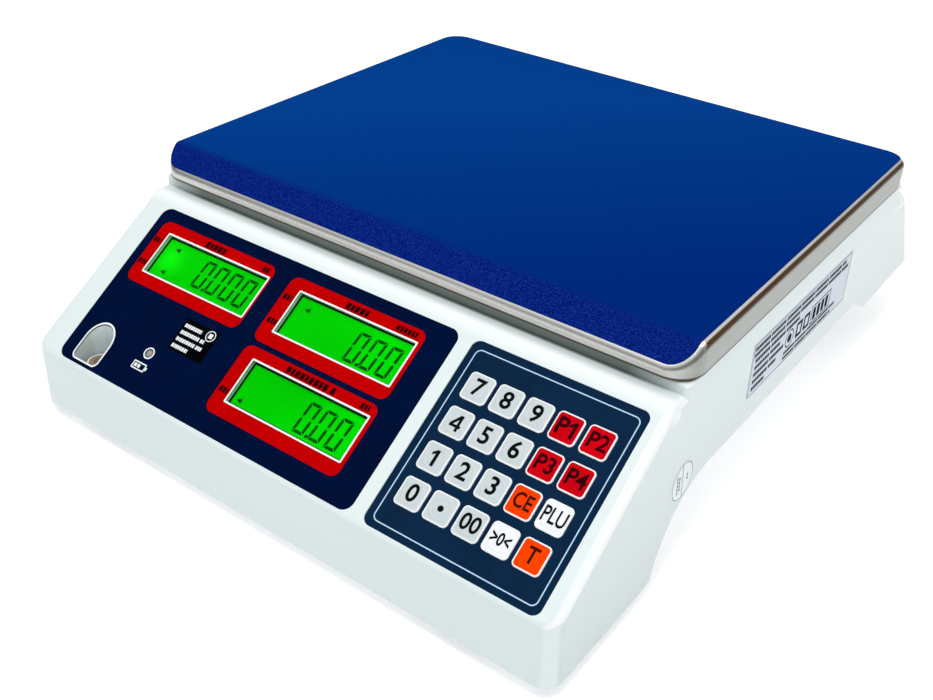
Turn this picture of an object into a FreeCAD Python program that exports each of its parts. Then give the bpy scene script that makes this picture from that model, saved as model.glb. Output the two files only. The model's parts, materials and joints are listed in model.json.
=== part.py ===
"""Price-computing retail scale: a flat steel pan on a single-point load cell, in a moulded
housing with a sloped console (three readouts and a twenty-key pad) in front, and a second,
steeper readout panel for the customer at the back.

Frame: millimetres, +Z up, +X to the operator's right, +Y away from the operator.
The origin is the centre of the footprint, at table level.
"""
import FreeCAD, Part
import math
import os
from FreeCAD import Placement, Rotation, Vector

# ---------------------------------------------------------------- driving dimensions
# pan
pan_width = 340.0
pan_depth = 280.0
pan_centre_y = 20.0
pan_top_z = 128.0
pan_skirt = 16.0
pan_sheet = 1.0
pan_corner = 15.0
pan_bend = 3.5
pan_fold_run = 13.0        # the front edge folds down over this depth...
pan_fold_drop = 11.5       # ...by this height, above a short vertical skirt
film_thickness = 0.3
film_side_gap = 3.7        # bare steel beside the film on the right
# housing
body_half_width = 171.6    # at the console's bottom edge
body_front_y = -219.0
body_rear_y = 219.0
body_bottom_z = 7.7
draft_angle = 1.7
wall = 2.6
front_corner = 10.0
deck_z = 105.6             # flat strip at the head of the console
deck_front_y = -125.5
box_front_y = -117.5       # raised box under the pan
box_rear_y = 158.0
box_top_z = 111.0
rear_deck_z = 96.0
rear_deck_end_y = 182.3
rear_edge_z = 37.9         # foot of the rear panel, at body_rear_y
console_slope = 33.5       # degrees from horizontal
# underside
arch_radius = 52.8
arch_centre_y = -82.0
arch_start_angle = 165.0   # at the front leg, from +Y towards +Z
arch_top_z = 49.0
arch_rear_y = 110.0
rear_foot_y = 131.0
rear_bottom_z = 37.0
base_floor_z = 8.0
base_wall = 2.5
base_half_width = 166.2
tray_half_width = 140.0
tray_rear_y = 170.0
base_back_wall_y = -133.5
base_rear_y = 204.8
# console layout, as distances right of centre and down the slope from the deck edge
display_left, display_right = -152.0, 57.0
keypad_left, keypad_right = 64.8, 160.6
overlay_top, keypad_top, overlay_bottom = 8.0, 8.0, 109.8
window_width, window_height = 76.6, 25.2
window_centres = {"weight": (-99.2, 35.0), "price": (0.0, 34.8), "total": (0.0, 77.7)}
well_centre_x, well_centre_down, well_half = -133.1, 94.4, 9.3
well_length_front = 12.5
well_corner = 2.6
led_centre = (-97.9, 86.8)
key_size_x, key_size_y, key_corner = 14.0, 14.6, 2.4
key_pitch_x, key_pitch_y = 16.2, 19.2
first_key = (80.0, 30.3)
key_travel = 0.4
key_gap = 0.3
key_names = [
    ["7", "8", "9", "p1", "p2"],
    ["4", "5", "6", "p3", "p4"],
    ["1", "2", "3", "ce", "plu"],
    ["0", "dot", "00", "zero", "tare"],
]
# rear panel layout, along the panel from its upper edge
rear_overlay_width, rear_overlay_height, rear_overlay_down = 246.0, 44.0, 33.0
rear_window_width, rear_window_height, rear_window_pitch = 64.0, 22.0, 78.0
rear_board_width, rear_board_height = 232.0, 25.0
# rating label on the right-hand wall
label_size = (131.0, 32.0, 0.2)
label_centre = (20.6, 79.6)
label_tilt = 0.5
# weighing parts
chassis_z, chassis_thickness = 44.0, 4.0
chassis_half_width, chassis_front_y, chassis_rear_y = 62.0, -62.0, 102.0
cell_width, cell_height, cell_length = 30.0, 22.0, 130.0
cell_end = 30.0
base_spacer, top_spacer = 6.0, 8.0
spider_thickness = 10.0
post_x, post_y, post_radius = 128.0, 104.0, 9.0
pad_radius, pad_height = 11.0, 5.0
stop_gap = 0.6
# feet
foot_x, foot_front_y, foot_rear_y = 120.0, -190.0, 148.0
foot_pad_radius, foot_pad_height, stud_radius = 16.0, 4.5, 4.0
insert_radius, insert_clearance = 6.0, 0.05

nodes = {}


# ---------------------------------------------------------------- helpers
def block(x0, x1, y0, y1, z0, z1):
    return Part.makeBox(x1 - x0, y1 - y0, z1 - z0, Vector(x0, y0, z0))


def disc(x, y, z0, z1, radius):
    return Part.makeCylinder(radius, z1 - z0, Vector(x, y, z0))


def face_of(points):
    """Face from a closed outline. An entry is a corner, or ('arc', middle, end)."""
    edges = []
    last = points[0]
    for item in points[1:] + [points[0]]:
        if item[0] == "arc":
            edges.append(Part.Arc(Vector(*last), Vector(*item[1]), Vector(*item[2])).toShape())
            last = item[2]
        else:
            edges.append(Part.makeLine(Vector(*last), Vector(*item)))
            last = item
    return Part.Face(Part.Wire(edges))


def plate(x0, x1, y0, y1, z0, z1, radius):
    """Upright plate with rounded corners in plan."""
    solid = block(x0, x1, y0, y1, z0, z1)
    upright = [e for e in solid.Edges if abs(e.Vertexes[0].Z - e.Vertexes[-1].Z) > 1e-6]
    return solid.makeFillet(radius, upright)


def fused(shapes):
    result = shapes[0].multiFuse(shapes[1:]).removeSplitter()
    return result.Solids[0] if len(result.Solids) == 1 else result


def group(shapes):
    return Part.makeCompound(shapes)


def rounded(shape, radius, wanted):
    """Fillet the edges whose middle point satisfies wanted(point, direction)."""
    picked = []
    for edge in shape.Edges:
        if edge.Length < 0.5:
            continue
        middle = edge.valueAt((edge.FirstParameter + edge.LastParameter) / 2)
        run = edge.Vertexes[-1].Point - edge.Vertexes[0].Point
        if run.Length > 0 and wanted(middle, run.normalize()):
            picked.append(edge)
    if not picked:
        raise ValueError("no edge to round")
    result = shape.makeFillet(radius, picked)
    return result.Solids[0] if len(result.Solids) == 1 else result


def placed(shape, place):
    moved = shape.copy()
    moved.Placement = place.multiply(moved.Placement)
    return moved


console_place = Placement(Vector(0, deck_front_y, deck_z), Rotation(Vector(1, 0, 0), console_slope))
rear_tilt = math.degrees(math.atan2(body_rear_y - rear_deck_end_y, rear_deck_z - rear_edge_z))
rear_place = Placement(Vector(0, rear_deck_end_y, rear_deck_z), Rotation(Vector(0, 0, 1), 180)).multiply(
    Placement(Vector(), Rotation(Vector(1, 0, 0), 90 - rear_tilt)))


def on_console(shape):
    """From the console's own frame: X right, Y up the slope from the deck edge, Z outward."""
    return placed(shape, console_place)


def on_rear(shape):
    """From the rear panel's frame: X to the customer's right, Y up the panel, Z outward."""
    return placed(shape, rear_place)


# ---------------------------------------------------------------- housing
console_run = deck_front_y - body_front_y
ridge_z = deck_z - console_run * math.tan(math.radians(console_slope))
rear_lean = math.tan(math.radians(rear_tilt))
draft_ratio = math.tan(math.radians(draft_angle))


def side_outline(inset, floor_z):
    """Side view of the body (Y, Z) above floor_z, moved inward by inset."""
    slope = math.radians(console_slope)
    front = body_front_y + inset
    deck = deck_z - inset
    slope_shift = inset * math.tan(slope / 2)
    ridge = ridge_z - inset / math.cos(slope) + inset * math.tan(slope)
    rear_shift = inset / math.cos(math.radians(rear_tilt))
    rear_deck = rear_deck_z - inset
    rear_foot = rear_deck_end_y + (rear_deck_z - floor_z) * rear_lean - rear_shift
    rear_head = rear_deck_end_y + inset * rear_lean - rear_shift
    return [
        (front, floor_z),
        (front, ridge),
        (deck_front_y + slope_shift, deck),
        (box_front_y + inset, deck),
        (box_front_y + inset, box_top_z - inset),
        (box_rear_y - inset, box_top_z - inset),
        (box_rear_y - inset, rear_deck),
        (rear_head, rear_deck),
        (rear_foot, floor_z),
    ]


def body_form(inset):
    """Body with drafted side walls and rounded edges, moved inward by inset."""
    floor_z = -20.0
    outline = [(-200.0, y, z) for y, z in side_outline(inset, floor_z)]
    prism = face_of(outline).extrude(Vector(400, 0, 0))
    low = body_half_width - inset + (body_bottom_z - floor_z) * draft_ratio
    high = body_half_width - inset - (130 - body_bottom_z) * draft_ratio
    ends = [(-low, -300, floor_z - 1), (low, -300, floor_z - 1), (high, -300, 130), (-high, -300, 130)]
    form = prism.common(face_of(ends).extrude(Vector(0, 600, 0)))
    near_side = body_half_width - 12
    form = rounded(form, front_corner - inset, lambda p, d: abs(d.z) > 0.9 and p.y < body_front_y + 6)
    form = rounded(form, 10 - inset, lambda p, d: abs(p.x) > near_side and p.y > rear_deck_end_y
                   and p.z < rear_deck_z - 5 and abs(d.y) > 0.3)
    form = rounded(form, 7 - inset, lambda p, d: abs(d.x) > 0.9 and abs(p.x) < 1
                   and (abs(p.z - rear_deck_z + inset) < 1 and p.y > rear_deck_end_y - 5))
    form = rounded(form, 6 - inset, lambda p, d: abs(d.x) > 0.9 and abs(p.x) < 1
                   and abs(p.y - deck_front_y) < 3 and p.z > deck_z - 6)
    form = rounded(form, 4.5 - inset, lambda p, d: p.y < box_front_y and p.z > ridge_z - 12
                   and (abs(p.x) > near_side - 4 or p.y < body_front_y + 6) and abs(d.z) < 0.9)
    if inset == 0:
        form = rounded(form, 3.0, lambda p, d: abs(d.z) > 0.9 and abs(p.x) > near_side
                       and p.z > deck_z - 6 and p.y < box_front_y + 3)
        form = rounded(form, 1.5, lambda p, d: abs(p.z - box_top_z) < 0.01)
    return form


def underside():
    """Everything below the body's lower edge: a flat under the console, a hand-hold arch
    along each side and a slightly lower edge under the rear panel."""
    low = -40.0
    arch_z = arch_top_z - arch_radius
    start_angle = math.radians(arch_start_angle)
    rise = (arch_centre_y + arch_radius * math.cos(start_angle), arch_z + arch_radius * math.sin(start_angle))
    half = math.radians((arch_start_angle + 90) / 2)
    middle = (arch_centre_y + arch_radius * math.cos(half), arch_z + arch_radius * math.sin(half))
    corner = 8.0
    tail = body_rear_y - 7.7
    points = [
        (-300.0, low), (-300.0, body_bottom_z), (body_front_y + 80, body_bottom_z), rise,
        ("arc", middle, (arch_centre_y, arch_top_z)),
        (arch_rear_y, arch_top_z), (rear_foot_y, rear_bottom_z), (tail, rear_bottom_z),
        ("arc", (tail + corner * 0.7, rear_bottom_z + corner * 0.3), (tail + corner, rear_bottom_z + corner)),
        (300.0, rear_bottom_z + corner), (300.0, low),
    ]
    lifted = []
    for item in points:
        if item[0] == "arc":
            lifted.append(("arc", (-200.0,) + item[1], (-200.0,) + item[2]))
        else:
            lifted.append((-200.0,) + item)
    return face_of(lifted).extrude(Vector(400, 0, 0))


def well_prism(grow, z0, z1):
    """Upright shaft, round at the back and nearly square at the front."""
    slope = math.radians(console_slope)
    centre_y = deck_front_y - well_centre_down * math.cos(slope)
    half = well_half + grow
    front = centre_y - well_length_front * math.cos(slope) - grow
    x = well_centre_x
    corner = well_corner + grow
    side = half - corner
    bulge = corner * (1 - math.cos(math.radians(45)))
    outline = [
        (x - half, centre_y, z0),
        ("arc", (x, centre_y + half, z0), (x + half, centre_y, z0)),
        (x + half, front + corner, z0),
        ("arc", (x + half - bulge, front + bulge, z0), (x + side, front, z0)),
        (x - side, front, z0),
        ("arc", (x - half + bulge, front + bulge, z0), (x - half, front + corner, z0)),
    ]
    return face_of(outline).extrude(Vector(0, 0, z1 - z0))


def panel_plate(x0, x1, down0, down1, z0, z1, radius):
    return on_console(plate(x0, x1, -down1, -down0, z0, z1, radius))


def window_plate(name, grow, z0, z1, radius=0.8):
    cx, down = window_centres[name]
    w, h = window_width / 2 + grow, window_height / 2 + grow
    return panel_plate(cx - w, cx + w, down - h, down + h, z0, z1, radius)


def rear_plate(centre_x, half_w, half_h, z0, z1, radius):
    return on_rear(plate(centre_x - half_w, centre_x + half_w, -rear_overlay_down - half_h,
                         -rear_overlay_down + half_h, z0, z1, radius))


rear_centres = [-rear_window_pitch, 0.0, rear_window_pitch]
vial_radius, vial_top_z, vial_height = 7.8, 41.0, 8.0
well_centre_y = deck_front_y - well_centre_down * math.cos(math.radians(console_slope))
keypad_opening = (keypad_left + 6.5, keypad_right - 5.0, keypad_top + 11.5, overlay_bottom - 11.5)
screw_spots = [(-151.0, -70.0), (151.0, -70.0), (-151.0, 135.0), (151.0, 135.0)]
front_screw = (59.4, -190.0)
boss_radius, boss_hole = 4.0, 1.5
screw_head_radius, screw_head_height, screw_radius, screw_length = 3.8, 2.4, 1.45, 11.0
chassis_posts = [(sx * 50.0, y) for sx in (-1, 1) for y in (-50.0, 90.0)]


def make_upper_housing():
    cavity = body_form(wall)
    shell = body_form(0).cut(cavity).cut(underside())
    bosses = [disc(x, y, arch_top_z + base_wall, box_top_z - wall + 0.5, boss_radius) for x, y in screw_spots]
    bosses.append(disc(front_screw[0], front_screw[1], base_floor_z + base_wall, 66, boss_radius))
    tube = well_prism(1.5, vial_top_z - vial_height - 2.0, 75)
    space = cavity.fuse(shell)
    inside = [boss.common(space) for boss in bosses + [tube]]
    shell = fused([shell] + inside)
    cuts = [
        panel_plate(display_left, display_right, overlay_top, overlay_bottom, -0.5, 5, 6.0),
        panel_plate(keypad_left, keypad_right, keypad_top, overlay_bottom, -1.0, 5, 4.5),
        well_prism(0, vial_top_z - vial_height, 90),
        panel_plate(*keypad_opening, -10, 5, 3.0),
        on_console(disc(led_centre[0], -led_centre[1], -10, 5, 2.6)),
        rear_plate(0, rear_overlay_width / 2, rear_overlay_height / 2, -0.5, 5, 4.0),
    ]
    cuts += [window_plate(name, 0, -10, 5) for name in window_centres]
    cuts += [rear_plate(x, rear_window_width / 2, rear_window_height / 2, -10, 5, 0.8) for x in rear_centres]
    cuts += [disc(sx * post_x, pan_centre_y + sy * post_y, 90, 120, post_radius + 2.5)
             for sx in (-1, 1) for sy in (-1, 1)]
    cuts += [disc(x, y, 40, 90, boss_hole) for x, y in screw_spots]
    cuts.append(disc(front_screw[0], front_screw[1], 5, 40, boss_hole))
    for cut in cuts:
        shell = shell.cut(cut)
    nodes["upper_housing"] = max(shell.Solids, key=lambda s: s.Volume)


inlet_y, switch_y, socket_z = 60.0, 15.0, 27.0
inlet_half_y, inlet_half_z = 13.7, 9.8
rocker_tilt = 8.0
switch_half_y, switch_half_z = 9.6, 6.5


def make_lower_housing():
    front = body_front_y + wall + 0.8
    floor, top = base_floor_z, arch_top_z + base_wall
    inner = floor + base_wall
    back = base_back_wall_y
    tray = tray_half_width
    half = base_half_width
    outer = fused([
        plate(-half, half, front, back, floor, floor + 10, 9.0),
        block(-half, half, back - base_wall, back, floor, top),
        block(-half, half, back - 12, back, floor, floor + 10),
        block(-tray, tray, back - 5, tray_rear_y, floor, top),
        plate(-half, half, back - base_wall, base_rear_y, arch_top_z, top, 2.0),
    ])
    hollow = fused([
        plate(-half + base_wall, half - base_wall, front + base_wall, back - base_wall, inner, 90, 6.5),
        block(-half + base_wall, half - base_wall, back - 14, back - base_wall, inner, 90),
        block(-tray + base_wall, tray - base_wall, back - 14, tray_rear_y - base_wall, inner, 90),
    ])
    tub = outer.cut(hollow)
    feet = [(sx * foot_x, y) for sx in (-1, 1) for y in (foot_front_y, foot_rear_y)]
    posts = chassis_posts
    adds = [disc(x, y, floor, 26, 9.0) for x, y in feet]
    adds += [disc(x, y, floor + 1, chassis_z, 7.0) for x, y in posts]
    tub = fused([tub] + adds)
    cuts = [disc(x, y, floor - 1, 40, stud_radius + 0.6) for x, y in feet]
    cuts += [disc(x, y, floor + 4, 40, insert_radius) for x, y in feet]
    cuts += [disc(x, y, chassis_z - 12, chassis_z + 1, boss_hole) for x, y in posts]
    cuts += [disc(x, y, 30, 60, 2.2) for x, y in screw_spots]
    cuts.append(disc(front_screw[0], front_screw[1], 0, 30, 2.2))
    cuts.append(block(-tray - 5, -tray + 5, inlet_y - inlet_half_y, inlet_y + inlet_half_y,
                      socket_z - inlet_half_z, socket_z + inlet_half_z))
    cuts.append(block(-tray - 5, -tray + 5, switch_y - switch_half_y, switch_y + switch_half_y,
                      socket_z - switch_half_z, socket_z + switch_half_z))
    tub = tub.cut(disc(well_centre_x, well_centre_y, inner, 60, 14))
    for cut in cuts:
        tub = tub.cut(cut)
    nodes["lower_housing"] = max(tub.Solids, key=lambda s: s.Volume)
    nodes["foot_inserts"] = group([
        disc(x, y, floor + 4, 24, insert_radius).cut(disc(x, y, 0, 40, stud_radius + insert_clearance))
        for x, y in feet])
    screws = []
    for x, y in screw_spots:
        screws.append(screw(x, y, arch_top_z, 1))
    screws.append(screw(front_screw[0], front_screw[1], base_floor_z, 1))
    for x, y in posts:
        screws.append(screw(x, y, chassis_z + chassis_thickness, -1))
    nodes["self_tapping_screws"] = group(screws)


def screw(x, y, z, way):
    """Cross-head screw with its head against the face at z, driven upwards (1) or downwards (-1)."""
    head = disc(0, 0, -screw_head_height, 0, screw_head_radius)
    head = head.makeFillet(0.8, [e for e in head.Edges if len(e.Vertexes) == 1 and e.Vertexes[0].Z < -1])
    shank = disc(0, 0, -0.2, screw_length, screw_radius)
    arm = screw_head_radius * 0.6
    low, deep = -screw_head_height - 1, -screw_head_height + 1.2
    cross = fused([block(-arm, arm, -0.5, 0.5, low, deep), block(-0.5, 0.5, -arm, arm, low, deep)])
    whole = fused([head, shank]).cut(cross)
    if way < 0:
        whole.rotate(Vector(), Vector(1, 0, 0), 180)
    whole.translate(Vector(x, y, z))
    return whole


# ---------------------------------------------------------------- console parts
def make_display():
    overlay = panel_plate(display_left + 0.1, display_right - 0.1, overlay_top + 0.1, overlay_bottom - 0.1,
                          -0.5, -0.05, 5.9)
    for name in window_centres:
        overlay = overlay.cut(window_plate(name, -0.2, -5, 5, 0.6))
    overlay = overlay.cut(well_prism(-0.2, 20, 90))
    overlay = overlay.cut(on_console(disc(led_centre[0], -led_centre[1], -5, 5, 2.5)))
    nodes["display_overlay"] = overlay
    nodes["display_windows"] = group([window_plate(name, -0.25, -0.5, -0.1, 0.5) for name in window_centres])
    nodes["lcd_modules"] = group([window_plate(name, 3.0, -wall - 3.1, -wall - 0.3, 0.4)
                                  for name in window_centres])
    nodes["lcd_backlights"] = group([window_plate(name, 2.5, -wall - 6.6, -wall - 3.1, 0.4)
                                     for name in window_centres])
    board = panel_plate(display_left + 10, display_right - 12, 17, 97, -wall - 8.2, -wall - 6.6, 2.0)
    board = board.cut(well_prism(3.5, 10, 90))
    nodes["display_board"] = board
    lamp = fused([disc(0, 0, -wall - 6.6, -1.8, 2.4), Part.makeSphere(2.4, Vector(0, 0, -1.8))])
    lamp.translate(Vector(led_centre[0], -led_centre[1], 0))
    nodes["battery_led"] = on_console(lamp)
    vial = disc(well_centre_x, well_centre_y, vial_top_z - vial_height, vial_top_z, vial_radius)
    nodes["level_vial"] = vial.makeChamfer(0.8, [e for e in vial.Edges if e.Vertexes[0].Z > vial_top_z - 1
                                                 and len(e.Vertexes) == 1])


def key_spot(row, column):
    return first_key[0] + column * key_pitch_x, first_key[1] + row * key_pitch_y


def key_plate(row, column, grow, z0, z1, radius):
    cx, down = key_spot(row, column)
    w, h = key_size_x / 2 + grow, key_size_y / 2 + grow
    return panel_plate(cx - w, cx + w, down - h, down + h, z0, z1, radius)


def make_keypad():
    spots = [(row, column) for row in range(len(key_names)) for column in range(len(key_names[0]))]
    holes = [key_plate(row, column, key_gap, -8, 8, key_corner + key_gap) for row, column in spots]
    overlay = panel_plate(keypad_left + 0.1, keypad_right - 0.1, keypad_top + 0.1, overlay_bottom - 0.1,
                          -1.0, -0.45, 4.4)
    left, right, top, bottom = keypad_opening
    frame = panel_plate(left + 0.2, right - 0.2, top + 0.2, bottom - 0.2, -3.0, -1.0, 2.8)
    for hole in holes:
        overlay = overlay.cut(hole)
        frame = frame.cut(hole)
    nodes["keypad_overlay"] = overlay
    nodes["keypad_frame"] = frame
    nodes["keypad_board"] = panel_plate(left + 0.2, right - 0.2, top + 0.2, bottom - 0.2, -4.6, -3.0, 2.8)
    for row, column in spots:
        cap = key_plate(row, column, 0, -2.5, 0.15, key_corner)
        rim = on_console_face_edges(cap)
        nodes["key_" + key_names[row][column]] = cap.makeChamfer(0.3, rim)


def on_console_face_edges(cap):
    """Edges around a key's outer face, which is its highest face along the console's normal."""
    normal = console_place.Rotation.multVec(Vector(0, 0, 1))
    face = max(cap.Faces, key=lambda f: f.CenterOfMass.dot(normal))
    return face.Edges


def make_rear_display():
    overlay = rear_plate(0, rear_overlay_width / 2 - 0.1, rear_overlay_height / 2 - 0.1, -0.5, -0.05, 3.9)
    glass, modules = [], []
    for x in rear_centres:
        half_w, half_h = rear_window_width / 2, rear_window_height / 2
        overlay = overlay.cut(rear_plate(x, half_w - 0.2, half_h - 0.2, -5, 5, 0.6))
        glass.append(rear_plate(x, half_w - 0.25, half_h - 0.25, -0.5, -0.1, 0.5))
        modules.append(rear_plate(x, half_w + 3, half_h + 3, -wall - 5.1, -wall - 0.3, 0.4))
    nodes["rear_overlay"] = overlay
    nodes["rear_windows"] = group(glass)
    nodes["rear_lcds"] = group(modules)
    nodes["rear_board"] = rear_plate(0, rear_board_width / 2, rear_board_height / 2,
                                     -wall - 6.7, -wall - 5.1, 2.0)


# ---------------------------------------------------------------- weighing parts
def make_weighing():
    cy = pan_centre_y
    plate_top = chassis_z + chassis_thickness
    chassis = plate(-chassis_half_width, chassis_half_width, chassis_front_y, chassis_rear_y,
                    chassis_z, plate_top, 6.0)
    cell_z = plate_top + base_spacer
    y0, y1 = cy - cell_length / 2, cy + cell_length / 2
    rear_bolts = [(0.0, y1 - 22.0), (0.0, y1 - 8.0)]
    front_bolts = [(0.0, y0 + 8.0), (0.0, y0 + 22.0)]
    for x, y in rear_bolts:
        chassis = chassis.cut(disc(x, y, 0, 100, 3.3))
    for x, y in chassis_posts:
        chassis = chassis.cut(disc(x, y, 0, 100, 2.2))
    nodes["chassis_plate"] = chassis
    spacer = block(-cell_width / 2, cell_width / 2, y1 - cell_end, y1, plate_top, cell_z)
    cell = block(-cell_width / 2, cell_width / 2, y0, y1, cell_z, cell_z + cell_height)
    eye_z = cell_z + cell_height / 2
    for y in (cy - 16, cy + 16):
        cell = cell.cut(Part.makeCylinder(8.2, 60, Vector(-30, y, eye_z), Vector(1, 0, 0)))
    cell = cell.cut(block(-30, 30, cy - 16, cy + 16, eye_z - 3.5, eye_z + 3.5))
    for x, y in rear_bolts:
        spacer = spacer.cut(disc(x, y, 0, 100, 3.3))
        cell = cell.cut(disc(x, y, 0, cell_z + 14, 3.0))
    for x, y in front_bolts:
        cell = cell.cut(disc(x, y, cell_z + 8, 120, 3.0))
    nodes["load_cell_spacer"] = spacer
    nodes["load_cell"] = cell
    nodes["load_cell_bolts"] = group([hex_bolt(x, y, chassis_z, cell_z + 13, -1) for x, y in rear_bolts])
    hub_z = cell_z + cell_height + top_spacer
    top = block(-cell_width / 2, cell_width / 2, y0, y0 + cell_end, cell_z + cell_height, hub_z)
    hub = plate(-26, 26, y0 - 4, cy + 30, hub_z, hub_z + spider_thickness, 6.0)
    arms = []
    reach = math.hypot(post_x, post_y)
    turn = math.degrees(math.atan2(post_y, post_x))
    for angle in (turn, 180 - turn, 180 + turn, -turn):
        arm = block(0, reach, -9, 9, hub_z, hub_z + spider_thickness)
        arm.rotate(Vector(), Vector(0, 0, 1), angle)
        arm.translate(Vector(0, cy, 0))
        arms.append(arm)
    post_top = pan_top_z - pan_sheet - pad_height
    corners = [(sx * post_x, cy + sy * post_y) for sx in (-1, 1) for sy in (-1, 1)]
    posts = [disc(x, y, hub_z, post_top, post_radius) for x, y in corners]
    posts += [disc(x, y, hub_z, hub_z + spider_thickness, 13.0) for x, y in corners]
    spider = fused([hub] + arms + posts)
    for x, y in front_bolts:
        top = top.cut(disc(x, y, 0, 120, 3.3))
        spider = spider.cut(disc(x, y, 0, 120, 3.3))
    nodes["platform_spacer"] = top
    nodes["platform_spider"] = spider
    nodes["platform_bolts"] = group([hex_bolt(x, y, hub_z + spider_thickness, cell_z + 9, 1)
                                     for x, y in front_bolts])
    nodes["platform_pads"] = group([rubber_pad(x, y, post_top) for x, y in corners])
    stops = []
    for sx in (-1, 1):
        for sy in (-1, 1):
            x = sx * 48.0
            y = cy + sy * 48.0 * post_y / post_x
            stops.append(fused([disc(x, y, plate_top, plate_top + 5, 5.0),
                                disc(x, y, plate_top, hub_z - stop_gap, 3.0)]))
    nodes["overload_stops"] = group(stops)


def hex_bolt(x, y, face_z, tip_z, side):
    """Bolt with its head on the side +1 (above) or -1 (below) of face_z and its tip at tip_z."""
    corners = [(x + 5.2 * math.cos(math.radians(60 * k)), y + 5.2 * math.sin(math.radians(60 * k)), face_z)
               for k in range(6)]
    head = face_of(corners).extrude(Vector(0, 0, 4.0 * side))
    shank = disc(x, y, min(face_z, tip_z), max(face_z, tip_z), 2.95)
    return fused([head, shank])


def rubber_pad(x, y, z):
    pad = disc(x, y, z, z + pad_height, pad_radius)
    return pad.makeFillet(1.0, [e for e in pad.Edges if len(e.Vertexes) == 1])


# ---------------------------------------------------------------- pan
def pan_form(inset, bottom_z):
    """Pan's outer form: flat top, bent edges, folded front, moved inward by inset."""
    half = pan_width / 2 - inset
    front = pan_centre_y - pan_depth / 2 + inset
    rear = pan_centre_y + pan_depth / 2 - inset
    top = pan_top_z - inset
    form = plate(-half, half, front, rear, bottom_z, top, pan_corner - inset)
    fold = math.atan2(pan_fold_drop, pan_fold_run)
    shift = inset * (1 - math.cos(fold)) / math.sin(fold)
    fold_y = front + pan_fold_run - inset + shift
    drop_z = top - (fold_y - front) * math.tan(fold)
    wedge = face_of([(-200, front - 5, drop_z - 5 * math.tan(fold)), (-200, fold_y, top),
                     (-200, fold_y, top + 20), (-200, front - 5, top + 20)])
    form = form.cut(wedge.extrude(Vector(400, 0, 0)))
    form = rounded(form, 5.0, lambda p, d: abs(d.x) > 0.99 and abs(p.y - fold_y) < 0.1)
    return form


def make_pan():
    skirt_z = pan_top_z - pan_skirt
    outer = pan_form(0, skirt_z)
    rim = [e for e in outer.Edges if e.BoundBox.ZMin > skirt_z + 1.0 and on_outer_rim(e, 0)]
    outer = outer.makeFillet(pan_bend, rim)
    inner = pan_form(pan_sheet, skirt_z - 5)
    rim = [e for e in inner.Edges if e.BoundBox.ZMin > skirt_z + 1.0 and on_outer_rim(e, pan_sheet)]
    inner = inner.makeFillet(pan_bend - pan_sheet, rim)
    nodes["pan"] = outer.cut(inner)
    over = pan_form(-film_thickness, skirt_z)
    rim = [e for e in over.Edges if e.BoundBox.ZMin > skirt_z + 1.0 and on_outer_rim(e, -film_thickness)]
    over = over.makeFillet(pan_bend + film_thickness, rim)
    half = pan_width / 2
    front = pan_centre_y - pan_depth / 2
    rear = pan_centre_y + pan_depth / 2
    edge = 1.2
    cover = plate(-half + edge, half - film_side_gap, front + 1.8, rear - edge, skirt_z, pan_top_z + 5, 11.0)
    nodes["pan_film"] = max(over.cut(outer).common(cover).Solids, key=lambda s: s.Volume)


def on_outer_rim(edge, inset):
    """True for an edge that runs around the pan's outline."""
    middle = edge.valueAt((edge.FirstParameter + edge.LastParameter) / 2)
    x = abs(middle.x)
    y = abs(middle.y - pan_centre_y)
    reach_x = pan_width / 2 - inset
    reach_y = pan_depth / 2 - inset
    corner = pan_corner - inset
    if x > reach_x - 0.05 or y > reach_y - 0.05:
        return True
    across = math.hypot(max(x - reach_x + corner, 0), max(y - reach_y + corner, 0))
    return abs(across - corner) < 0.3


# ---------------------------------------------------------------- feet, power, boards
def make_feet():
    for side, sx in (("left", -1), ("right", 1)):
        for end, y in (("front", foot_front_y), ("rear", foot_rear_y)):
            x = sx * foot_x
            pad = disc(x, y, 0, foot_pad_height, foot_pad_radius)
            pad = pad.makeFillet(1.5, [e for e in pad.Edges if len(e.Vertexes) == 1 and e.Vertexes[0].Z > 1])
            stud = disc(x, y, foot_pad_height - 1, 27, stud_radius)
            nodes["foot_" + end + "_" + side] = fused([pad, stud])


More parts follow.
